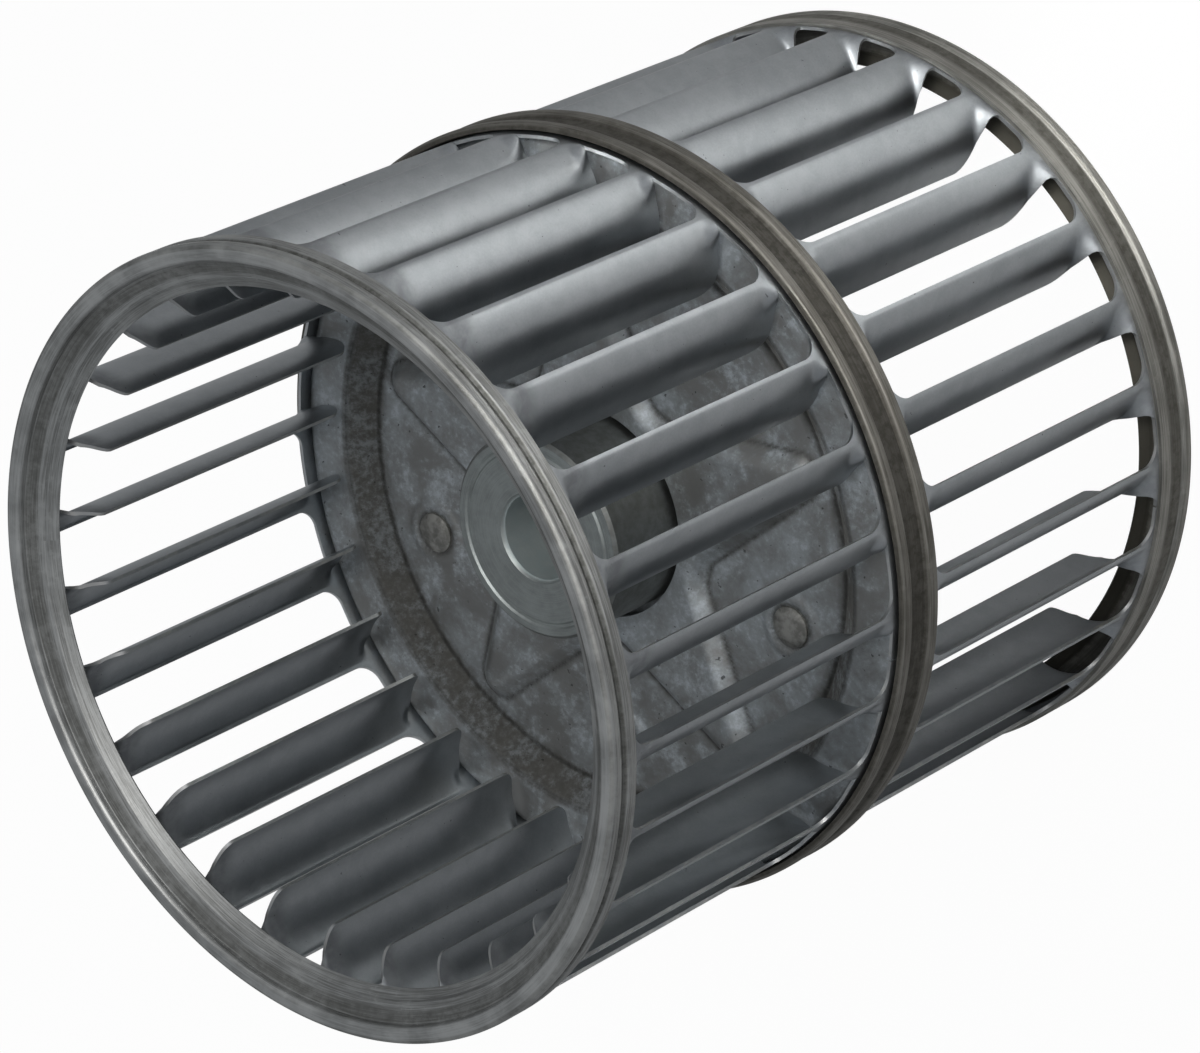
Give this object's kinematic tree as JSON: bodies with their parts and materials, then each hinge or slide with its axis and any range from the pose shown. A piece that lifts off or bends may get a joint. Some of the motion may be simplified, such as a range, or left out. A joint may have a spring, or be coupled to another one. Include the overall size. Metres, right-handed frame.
{
  "type": "blower wheel",
  "caption": "Double-inlet blower wheel with forward-curved blades pressed from rolled sheet, a dished centre disc and a hub with a plain bore.",
  "frame": {"origin": "on the shaft axis, halfway between the two end rings, inside the hub's bore", "axes": "+Z along the shaft axis, from the taller-walled end ring to the end that the hub faces; +X and +Y across it"},
  "size_m": [0.1159, 0.1158, 0.1286],
  "materials": {
    "galvanised_sheet": "bare galvanised sheet steel with a faint spangle",
    "rolled_sheet": "galvanised sheet steel, roll-formed, with fine marks round the ring",
    "plated_steel": "turned steel, zinc plated",
    "bronzed_steel": "brownish plated steel"
  },
  "bodies": {
    "root": {"upper_blade_strip": "galvanised_sheet", "lower_blade_strip": "galvanised_sheet", "upper_end_ring": "rolled_sheet", "lower_end_ring": "rolled_sheet", "centre_ring": "rolled_sheet", "centre_disc": "galvanised_sheet", "hub_plate": "galvanised_sheet", "hub": "plated_steel", "rivets": "bronzed_steel", "set_screw": "bronzed_steel"}
  },
  "joints": []
}
